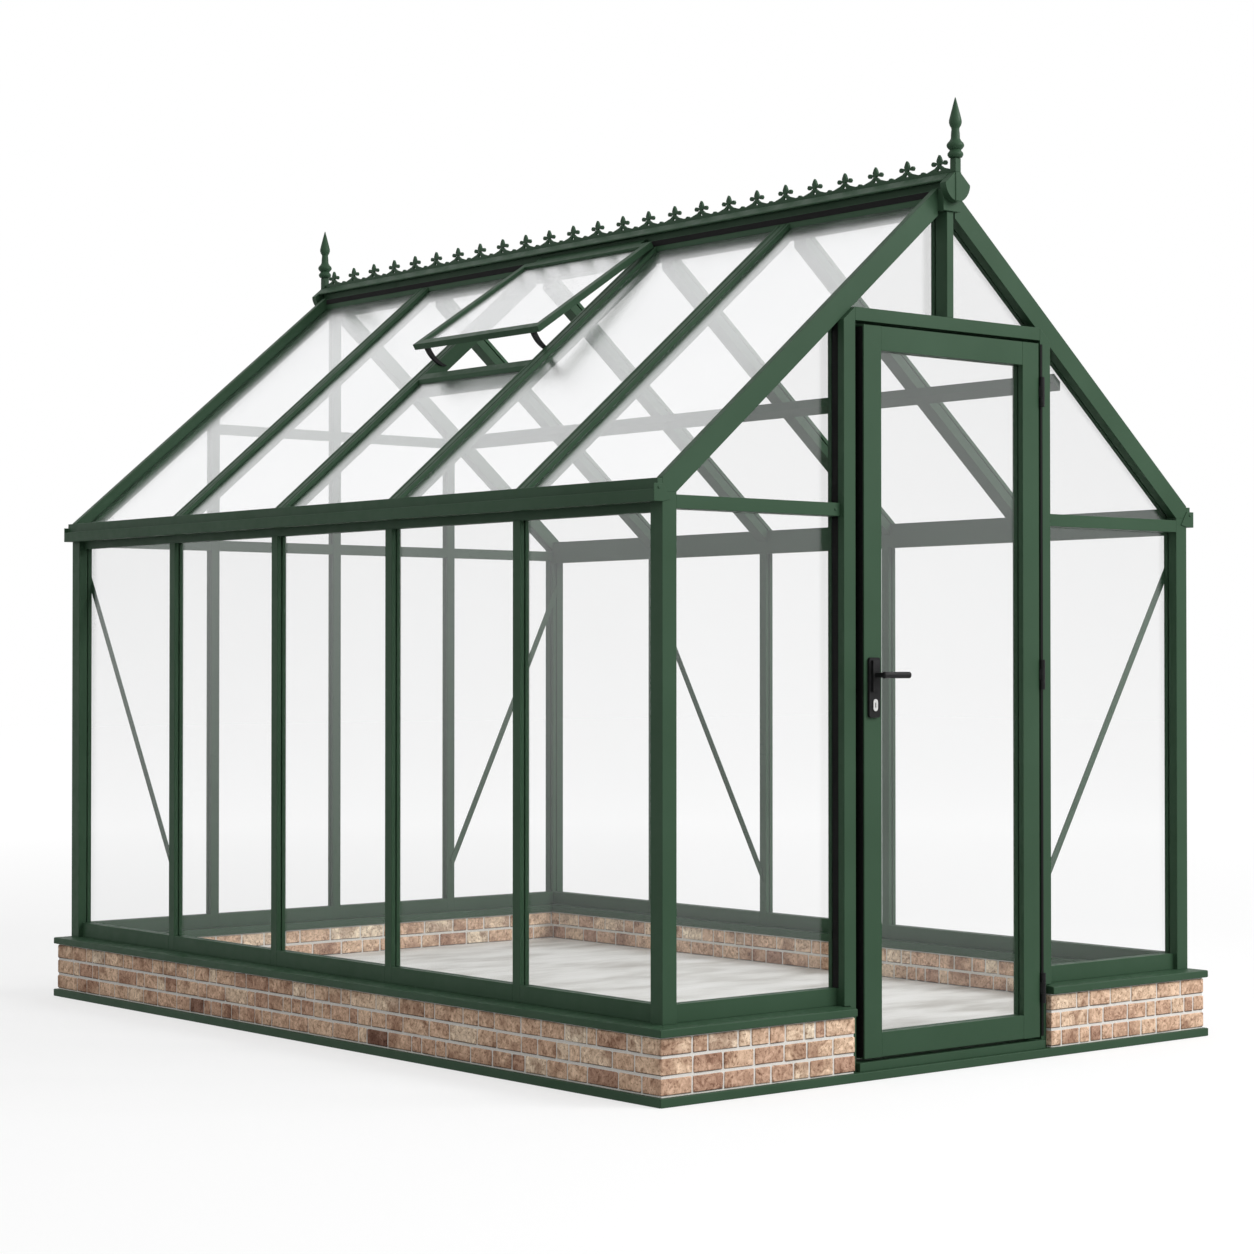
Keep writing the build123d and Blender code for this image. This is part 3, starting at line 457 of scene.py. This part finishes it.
sill_arris = 0.0022
coated_bars(["side_sills", "end_sills"], sill_arris)

# Posts and rails of the long walls.
# Drawn aluminium bars with glazing grooves: four corner posts, four glazing bars a side, rails below.
# They stand on the sills and carry the eaves.

coated_bars(["corner_posts", "side_mullions", "side_bottom_rails"])

# Gable frames.
# Drawn aluminium bars, screwed together: behind, three posts with ties and collars between them.
# In front are the door jambs, the header, a short king post, the threshold and the door stops.

coated_bars([
    "rear_posts", "rear_bottom_rails", "rear_eave_ties", "rear_collars",
    "front_bottom_rails", "front_eave_ties", "door_jambs", "door_header",
    "front_king_post", "threshold", "door_side_stops", "door_head_stop",
])

# Eaves and gutters.
# An eave beam on each long wall carries the rafters, with a drawn aluminium gutter clipped to it.
# A plate closes each end of a gutter, held by one slotted screw, as the front ties are at the jambs.

coated_bars(["eave_beams", "left_gutter", "right_gutter"])

screw_radius = 0.0045
screw_height = 0.0024
screw_from_edge = 0.017
screw_level_share = 0.6  # of the gutter's height
screw_sides = 16
slot_inset_share = 0.25  # of the head's radius
slot_width_share = 0.3  # of what the inset leaves
slot_depth_share = 0.6  # of the head's height
upward_from = 0.9  # of a face's normal


def pan_head_screw(name):
    """A low domed head with a slot cut into it, lying on the ground plane and looking up."""
    bpy.ops.object.select_all(action="DESELECT")
    bpy.ops.mesh.primitive_cylinder_add(
        vertices=screw_sides, radius=screw_radius, depth=screw_height, location=(0, 0, screw_height / 2)
    )
    screw = bpy.context.object
    screw.name = name
    bpy.ops.object.transform_apply(location=True)
    bpy.context.tool_settings.mesh_select_mode = (False, False, True)
    bpy.ops.object.mode_set(mode="EDIT")
    bpy.ops.mesh.select_all(action="DESELECT")
    mesh = bmesh.from_edit_mesh(screw.data)
    for face in mesh.faces:
        face.select_set(face.normal.z > upward_from)
    bpy.ops.mesh.bevel(offset=screw_height / 2, segments=2, affect="EDGES")
    bpy.ops.mesh.inset(thickness=screw_radius * slot_inset_share)
    bpy.ops.transform.resize(value=(1, slot_width_share, 1))
    slot_depth = screw_height * slot_depth_share
    bpy.ops.mesh.extrude_region_move(TRANSFORM_OT_translate={"value": (0, 0, -slot_depth)})
    bpy.ops.object.mode_set(mode="OBJECT")
    return screw


def set_pieces(shape, places, name):
    """Copies of one small piece, each turned and set at its place, joined under one name."""
    pieces = []
    for turn in places:
        mesh = shape.data.copy()
        mesh.transform(turn)
        piece = bpy.data.objects.new(name, mesh)
        bpy.context.scene.collection.objects.link(piece)
        pieces.append(piece)
    return joined(pieces, name)


gutter_low, gutter_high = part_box("left_gutter")
screw_z = gutter_low.z + screw_level_share * (gutter_high.z - gutter_low.z)
screw = pan_head_screw("screw")
places = []
for x in (gutter_low.x + screw_from_edge, -gutter_low.x - screw_from_edge):
    for y, turn in ((gutter_low.y, math.pi / 2), (gutter_high.y, -math.pi / 2)):
        places.append(Matrix.Translation((x, y, screw_z)) @ Matrix.Rotation(turn, 4, "X"))
finish_piece(set_pieces(screw, places, "gutter_screws"), green_coat)

tie_low, tie_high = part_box("front_eave_ties")
jamb_low, jamb_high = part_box("door_jambs")
places = []
for x in (jamb_low.x - screw_from_edge, jamb_high.x + screw_from_edge):
    place = Matrix.Translation((x, tie_low.y, (tie_low.z + tie_high.z) / 2))
    places.append(place @ Matrix.Rotation(math.pi / 2, 4, "X"))
finish_piece(set_pieces(screw, places, "tie_screws"), green_coat)
bpy.data.objects.remove(screw)

# Roof bars.
# Drawn aluminium rafters and verges run from the eaves to the ridge, with a purlin under the right slope.
# A black strip along each side of the ridge bar, under its cap and above the rafters' ends, is painted
# shadow for the shade under the cap.

coated_bars(["roof_rafters", "gable_verges", "right_purlin", "ridge_bar", "ridge_end_caps"])

strip_thickness = 0.0016
ridge_width = 0.068
ridge_box_height = 0.06
ridge_shade_height = 0.0175
ridge_shade_drop = 0.0015
verge_cover = 0.014  # the verges cover the panes' edges so far


def painted_shade_black():
    """Matt black with a faint bloom, for the strips that stand in for shade: painted shade."""
    material, nodes, links, shader, place = material_of("painted_shade_black")
    bloom = noise_at(nodes, links, place, scale=90, detail=4)
    links.new(
        shades(nodes, links, bloom, [(0.3, (0.004, 0.004, 0.004)), (0.7, (0.009, 0.009, 0.009))]),
        shader.inputs["Base Color"],
    )
    links.new(between(nodes, links, bloom, low=0.6, high=0.8), shader.inputs["Roughness"])
    shader.inputs["Specular IOR Level"].default_value = 0.12
    return material


def thin_strip(low, high):
    """A thin strip between two corners, with soft edges."""
    bpy.ops.object.select_all(action="DESELECT")
    bpy.ops.mesh.primitive_cube_add(size=1, location=(low + high) / 2)
    bpy.ops.object.mode_set(mode="EDIT")
    bpy.ops.mesh.select_all(action="SELECT")
    bpy.ops.transform.resize(value=high - low)
    bpy.ops.mesh.bevel(offset=strip_thickness / 4, segments=1, affect="EDGES")
    bpy.ops.object.mode_set(mode="OBJECT")
    bpy.ops.object.transform_apply(location=True)
    return bpy.context.object


shade_black = painted_shade_black()
roof_low, roof_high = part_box("roof_glazing")
# Black strips under the ridge cap: painted shadow for the shade beneath the cap.
strips = []
for side in (-1, 1):
    near, far = sorted((side * ridge_width / 2, side * (ridge_width / 2 + strip_thickness)))
    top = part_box("ridge_bar")[0].z + ridge_box_height - ridge_shade_drop
    strips.append(thin_strip(
        Vector((near, roof_low.y + verge_cover, top - ridge_shade_height)),
        Vector((far, roof_high.y - verge_cover, top)),
    ))
finish_piece(joined(strips, "ridge_shade_strips"), shade_black)

# Finials.
# Cast aluminium spires at the ends of the ridge, turned above a square foot and coated with the frame.
# Each has a collar, a ball, a waist and a bud that runs out to a point.

finial_radius = 0.025
finial_foot = 0.022
finial_foot_height = 0.04
finial_arris = 0.0015
finial_sides = 24
finial_smooth_up_to = 50  # degrees
finial_shares = [
    (0.0, 0.5), (0.015, 0.76), (0.05, 0.9), (0.085, 0.88), (0.115, 0.7), (0.135, 0.64), (0.155, 0.8),
    (0.185, 0.96), (0.215, 1.0), (0.245, 0.92), (0.285, 0.66), (0.325, 0.52), (0.4, 0.5), (0.47, 0.45),
    (0.495, 0.47), (0.53, 0.62), (0.575, 0.72), (0.615, 0.72), (0.7, 0.58), (0.8, 0.4), (0.9, 0.22),
    (0.985, 0.06),
]


def turned_finial(x, y, low, high):
    """A square foot and a spire drawn up ring by ring, as on a lathe."""
    bpy.ops.object.select_all(action="DESELECT")
    bpy.ops.mesh.primitive_cube_add(size=1, location=(x, y, low + finial_foot_height / 2))
    foot = bpy.context.object
    bpy.ops.object.mode_set(mode="EDIT")
    bpy.ops.mesh.select_all(action="SELECT")
    bpy.ops.transform.resize(value=(finial_foot, finial_foot, finial_foot_height))
    bpy.ops.mesh.bevel(offset=finial_arris, segments=2, affect="EDGES")
    bpy.ops.object.mode_set(mode="OBJECT")
    base = low + finial_foot_height
    rise = high - base
    first = finial_radius * finial_shares[0][1]
    bpy.ops.object.select_all(action="DESELECT")
    bpy.ops.mesh.primitive_circle_add(
        vertices=finial_sides, radius=first, fill_type="NGON", location=(x, y, base)
    )
    spire = bpy.context.object
    bpy.ops.object.mode_set(mode="EDIT")
    bpy.ops.mesh.select_all(action="SELECT")
    for (before, wide), (after, narrow) in zip(finial_shares, finial_shares[1:]):
        bpy.ops.mesh.extrude_region_move(TRANSFORM_OT_translate={"value": (0, 0, (after - before) * rise)})
        size = narrow / wide
        bpy.ops.transform.resize(value=(size, size, 1), center_override=(x, y, base + after * rise))
    bpy.ops.mesh.extrude_region_move(TRANSFORM_OT_translate={"value": (0, 0, (1 - after) * rise)})
    bpy.ops.mesh.merge(type="CENTER")
    bpy.ops.mesh.select_all(action="SELECT")
    bpy.ops.mesh.normals_make_consistent(inside=False)
    bpy.ops.object.mode_set(mode="OBJECT")
    return [foot, spire]


finial_low, finial_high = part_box("finials")
parts = []
for y in (finial_low.y + finial_radius, finial_high.y - finial_radius):
    parts += turned_finial(0, y, finial_low.z, finial_high.z)
finials = joined(parts, "finials_coated")
bpy.ops.object.transform_apply(location=True, rotation=True, scale=True)
finish_piece(finials, green_coat, smooth=finial_smooth_up_to)
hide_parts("finials")

# Ridge cresting.
# A cast aluminium strip along the ridge that carries a row of fleurs with curled arms.
# It is screwed down through its foot, and the casting's arrises are soft under the coat.

crest_shortest_edge = 0.004
cresting = welded_copy("ridge_cresting", "ridge_cresting_coated")
round_arrises(cresting, bar_arris, crest_shortest_edge)
finish_piece(cresting, green_coat)
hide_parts("ridge_cresting")

# Roof vent.
# A glazed aluminium sash in the left slope, hinged under the ridge's cap and lying on a transom when shut.
# Two bowed stays of black enamelled steel hold it ajar.

coated_bars(["vent_stiles", "vent_rails", "vent_transom"])


def satin_black(name):
    """Black satin enamel on steel."""
    material, nodes, links, shader, place = material_of(name)
    rub = noise_at(nodes, links, place, scale=60, detail=5)
    links.new(
        shades(nodes, links, rub, [(0.3, (0.008, 0.008, 0.008)), (0.7, (0.014, 0.014, 0.015))]),
        shader.inputs["Base Color"],
    )
    links.new(between(nodes, links, rub, low=0.34, high=0.5), shader.inputs["Roughness"])
    shader.inputs["Specular IOR Level"].default_value = 0.12
    peel = noise_at(nodes, links, place, scale=1500, detail=2)
    relief(nodes, links, shader, peel, depth=0.0001, strength=0.3)
    return material


black_enamel = satin_black("black_enamel")
stay_coat = 0.003
stay_arris = 0.001
stay_shortest_edge = 0.003
stays = welded_copy("vent_stays", "vent_stays_enamelled")
bpy.ops.object.mode_set(mode="EDIT")
bpy.ops.mesh.select_all(action="SELECT")
bpy.ops.transform.shrink_fatten(value=stay_coat)
bpy.ops.object.mode_set(mode="OBJECT")
round_arrises(stays, stay_arris, stay_shortest_edge)
finish_piece(stays, black_enamel)
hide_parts("vent_stays")

# Wall braces.
# Flat aluminium straps that run corner to corner across four bays and keep the frame square.
# They are screwed to the inner faces of the uprights on either side of a bay.

brace_arris = 0.0006
coated_bars(["wall_braces"], brace_arris)

# Panes.
# Clear polycarbonate sheets, slid into the grooves of the bars, with black strips beside the jambs as
# painted shade.
# Their skins mirror the sky as a pale veil, strong at a slant. By height the veil is painted fainter near
# the sill, over the ground, and stronger at the crown: a painted reflection.

veil_square = 0.095  # of a sheet looked through squarely
veil_power = 2.5
sill_share = 0.4  # of the veil, at the sill level
sill_level = 0.25
crown_share = 1.55  # of the veil, at the crown level
crown_level = 2.2
house_middle = (0, 0, 1.2)
tint_share = 0.97  # of the sky's colour, where a sheet is darkest


def maths(nodes, links, operation, first, second):
    """One step of arithmetic on two numbers, the second of which may be written out."""
    step = nodes.new("ShaderNodeMath")
    step.operation = operation
    links.new(first, step.inputs[0])
    if isinstance(second, (int, float)):
        step.inputs[1].default_value = second
    else:
        links.new(second, step.inputs[1])
    return step.outputs["Value"]


def clear_sheet(name, sky, veil_slanted, smoothest, roughest):
    """Polycarbonate that is see-through apart from the sky in its skins."""
    material, nodes, links, shader, place = material_of(name)
    tint = noise_at(nodes, links, place, scale=2, detail=2)
    pale = [(0.3, tuple(tint_share * part for part in sky)), (0.7, sky)]
    links.new(shades(nodes, links, tint, pale), shader.inputs["Base Color"])
    shader.inputs["Metallic"].default_value = 1
    slant = nodes.new("ShaderNodeLayerWeight")
    slant.inputs["Blend"].default_value = 0.5
    steep = maths(nodes, links, "POWER", slant.outputs["Facing"], veil_power)
    veil = between(nodes, links, steep, veil_square, veil_square + veil_slanted, start=0, end=1)
    height = nodes.new("ShaderNodeSeparateXYZ")
    links.new(place, height.inputs["Vector"])
    # Painted reflection: the veil is scaled by height, from the sill share to the crown share.
    painted_veil_by_height = between(nodes, links, height.outputs["Z"], sill_share, crown_share, sill_level, crown_level)
    outward = nodes.new("ShaderNodeVectorMath")
    outward.operation = "SUBTRACT"
    outward.inputs[1].default_value = house_middle
    links.new(place, outward.inputs[0])
    skin = nodes.new("ShaderNodeVectorMath")
    skin.operation = "DOT_PRODUCT"
    links.new(outward.outputs["Vector"], skin.inputs[0])
    links.new(place.node.outputs["Normal"], skin.inputs[1])
    outer = maths(nodes, links, "GREATER_THAN", skin.outputs["Value"], 0)
    haze = maths(nodes, links, "MULTIPLY", maths(nodes, links, "MULTIPLY", veil, painted_veil_by_height), outer)
    links.new(haze, shader.inputs["Alpha"])
    wave = noise_at(nodes, links, place, scale=6, detail=2)
    links.new(between(nodes, links, wave, smoothest, roughest), shader.inputs["Roughness"])
    return material


wall_panes = ["side_glazing", "front_glazing", "rear_glazing", "door_glazing"]
wall_sheet = clear_sheet(
    "wall_polycarbonate", sky=(0.52, 0.526, 0.53), veil_slanted=0.36, smoothest=0.08, roughest=0.16
)
roof_panes = ["roof_glazing", "vent_glazing"]
roof_sheet = clear_sheet(
    "roof_polycarbonate", sky=(0.885, 0.89, 0.9), veil_slanted=0.5, smoothest=0.2, roughest=0.24
)
for node in wall_panes + roof_panes:
    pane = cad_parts[node]
    pane.data.materials.clear()
    pane.data.materials.append(roof_sheet if node in roof_panes else wall_sheet)
    pane.visible_shadow = False

jamb_shade_width = 0.022
gable_slope_room = 0.045  # the painted-shade strips stop so far below the tops of the jambs, under the verges

rail_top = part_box("front_bottom_rails")[1].z
pane_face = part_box("front_glazing")[0].y
# Black strips on the outer sides of the jambs, at the panes' face: painted shade for the jambs' shaded
# sides.
jamb_shades = []
for edge, out in ((jamb_low.x, -1), (jamb_high.x, 1)):
    near, far = sorted((edge, edge + out * strip_thickness))
    for bottom, top in ((rail_top, tie_low.z), (tie_high.z, jamb_high.z - gable_slope_room)):
        jamb_shades.append(thin_strip(
            Vector((near, pane_face - jamb_shade_width, bottom)), Vector((far, pane_face, top))
        ))
finish_piece(joined(jamb_shades, "jamb_shade_strips"), shade_black)

# Door leaf.
# Two stiles and two rails of drawn aluminium with one pane between them, screwed together at the corners.
# Black strips on the edges of the leaf, and one on the jamb in the gap beside the hinges, are painted shade
# for those shaded gaps.

leaf_arris = 0.0016
coated_bars(["door_stiles", "door_rails"], leaf_arris, "door")

shade_strip_margin = 0.004
jamb_width = 0.044
hinge_shade_width = 0.009
leaf_low, leaf_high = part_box("door_stiles")
# Black strips on both edges of the leaf: painted shade for the shaded gaps beside it.
strips = []
for edge, out in ((leaf_low.x, -1), (leaf_high.x, 1)):
    near, far = sorted((edge, edge + out * strip_thickness))
    strips.append(thin_strip(
        Vector((near, leaf_low.y + shade_strip_margin, leaf_low.z + shade_strip_margin)),
        Vector((far, leaf_high.y - shade_strip_margin, leaf_high.z - shade_strip_margin)),
    ))
finish_piece(joined(strips, "door_edge_shade_strips"), shade_black, "door")

# A black strip on the jamb beside the hinges: painted shade for the shaded reveal in that gap.
hinge_edge = jamb_high.x - jamb_width
hinge_shade = thin_strip(
    Vector((hinge_edge, jamb_low.y - strip_thickness, leaf_low.z)),
    Vector((hinge_edge + hinge_shade_width, jamb_low.y, leaf_high.z)),
)
hinge_shade.name = "hinge_side_shade"
finish_piece(hinge_shade, shade_black)

# Door furniture.
# Three black enamelled butt hinges, a handle plate with a turning lever on each side of the leaf,
# and a nickelled lock cylinder with a keyway at both ends, all screwed to the leaf and the jamb.

keyway_width = 0.0032
keyway_height = 0.014
keyway_proud = 0.0004


def brushed_steel(name):
    """Bright nickelled steel with fine turning marks."""
    material, nodes, links, shader, place = material_of(name)
    marks = noise_at(nodes, links, place, scale=700, detail=3)
    links.new(
        shades(nodes, links, marks, [(0.3, (0.55, 0.55, 0.54)), (0.7, (0.72, 0.72, 0.71))]),
        shader.inputs["Base Color"],
    )
    links.new(between(nodes, links, marks, low=0.18, high=0.32), shader.inputs["Roughness"])
    shader.inputs["Metallic"].default_value = 1
    return material


lock_steel = brushed_steel("lock_steel")
for node, body in [
    ("jamb_hinges", "building"),
    ("door_hinges", "door"),
    ("handle_plates", "door"),
    ("door_levers", "lever"),
]:
    piece = welded_copy(node, node + "_enamelled")
    finish_piece(piece, black_enamel, body)
    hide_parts(node)
lock = welded_copy("lock_cylinder", "lock_cylinder_polished")
finish_piece(lock, lock_steel, "door")
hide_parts("lock_cylinder")
lock_low, lock_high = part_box("lock_cylinder")
lock_middle = (lock_low + lock_high) / 2
# The keyways are thin black strips laid proud of the cylinder's ends: painted shade for the hollows of the
# slots.
keyway_shades = []
for face in (lock_low.y, lock_high.y):
    half = Vector((keyway_width / 2, keyway_proud, keyway_height / 2))
    at = Vector((lock_middle.x, face, lock_middle.z))
    keyway_shades.append(thin_strip(at - half, at + half))
finish_piece(joined(keyway_shades, "keyway_shades"), black_enamel, "door")

# Studio.
# A white floor and backdrop, with soft light from all round and two large soft lamps in front.
# The camera stands low, off the front left corner.

floor_size = 80
floor_drop = 0.0005  # clear of the undersides of the base rails
sky_level = 0.72
lamp_level = 0.38  # of the lamps on the floor beside the house
shadow_share = 0.35  # of the floor's white, which the lights make and shadows take away
fade_start = 4  # from the middle of the house
fade_end = 11
lamp_size = 4
lamp_aim = Vector((0, -1.5, 1.2))
camera_place = (-5.7346, -7.0069, 1.1250)
camera_tilt = 90.804  # degrees
camera_turn = -39.894
camera_lens = 80.314
camera_sensor = 36
camera_reach = 200
see_through_bounces = 32  # a ray may pass many panes


def seen_directly(nodes, links):
    """One where a ray comes from the camera, a gloss or through glass, and nought elsewhere."""
    path = nodes.new("ShaderNodeLightPath")
    total = path.outputs["Is Camera Ray"]
    for ray in ("Is Glossy Ray", "Is Transmission Ray"):
        total = maths(nodes, links, "MAXIMUM", total, path.outputs[ray])
    return total


bpy.ops.object.select_all(action="DESELECT")
bpy.ops.mesh.primitive_plane_add(size=floor_size, location=(0, 0, -floor_drop))
ground = bpy.context.object
ground.name = "studio_floor"
paper = bpy.data.materials.new("white_paper")
paper.use_nodes = True
nodes = paper.node_tree.nodes
links = paper.node_tree.links
nodes.remove(nodes["Principled BSDF"])
lit = nodes.new("ShaderNodeBsdfDiffuse")
lit.inputs["Color"].default_value = (shadow_share, shadow_share, shadow_share, 1)
glow = nodes.new("ShaderNodeEmission")
place = nodes.new("ShaderNodeTexCoord")
away = nodes.new("ShaderNodeVectorMath")
away.operation = "LENGTH"
links.new(place.outputs["Object"], away.inputs[0])
near_glow = 1 - shadow_share * (sky_level + lamp_level)
far_glow = 1 - shadow_share * sky_level
paleness = between(nodes, links, away.outputs["Value"], near_glow, far_glow, fade_start, fade_end)
shown = seen_directly(nodes, links)
links.new(maths(nodes, links, "MULTIPLY", shown, paleness), glow.inputs["Strength"])
both = nodes.new("ShaderNodeAddShader")
links.new(lit.outputs["BSDF"], both.inputs[0])
links.new(glow.outputs["Emission"], both.inputs[1])
links.new(both.outputs["Shader"], nodes["Material Output"].inputs["Surface"])
ground.data.materials.append(paper)

scene = bpy.context.scene
world = bpy.data.worlds.new("studio_light")
scene.world = world
world.use_nodes = True
nodes = world.node_tree.nodes
links = world.node_tree.links
sky = nodes["Background"]
sky.inputs["Color"].default_value = (1, 1, 1, 1)
sky.inputs["Strength"].default_value = sky_level
backdrop = nodes.new("ShaderNodeBackground")
backdrop.inputs["Color"].default_value = (1, 1, 1, 1)
backdrop.inputs["Strength"].default_value = 1
choice = nodes.new("ShaderNodeMixShader")
links.new(seen_directly(nodes, links), choice.inputs["Fac"])
links.new(sky.outputs["Background"], choice.inputs[1])
links.new(backdrop.outputs["Background"], choice.inputs[2])
links.new(choice.outputs["Shader"], nodes["World Output"].inputs["Surface"])


def soft_lamp(name, place, watts):
    """A large square lamp that shines at the door."""
    lamp = bpy.data.lights.new(name, "AREA")
    lamp.shape = "SQUARE"
    lamp.size = lamp_size
    lamp.energy = watts
    holder = bpy.data.objects.new(name, lamp)
    holder.location = place
    holder.rotation_euler = (lamp_aim - holder.location).to_track_quat("-Z", "Y").to_euler()
    scene.collection.objects.link(holder)


soft_lamp("front_lamp", place=(1.2, -9.0, 4.6), watts=240)
soft_lamp("high_lamp", place=(5.6, -8.1, 6.9), watts=600)

camera = bpy.data.objects.new("camera", bpy.data.cameras.new("camera"))
scene.collection.objects.link(camera)
camera.location = camera_place
camera.rotation_euler = (math.radians(camera_tilt), 0, math.radians(camera_turn))
camera.data.sensor_width = camera_sensor
camera.data.lens = camera_lens
camera.data.clip_end = camera_reach
scene.camera = camera
scene.view_settings.view_transform = "Standard"
scene.cycles.transparent_max_bounces = see_through_bounces
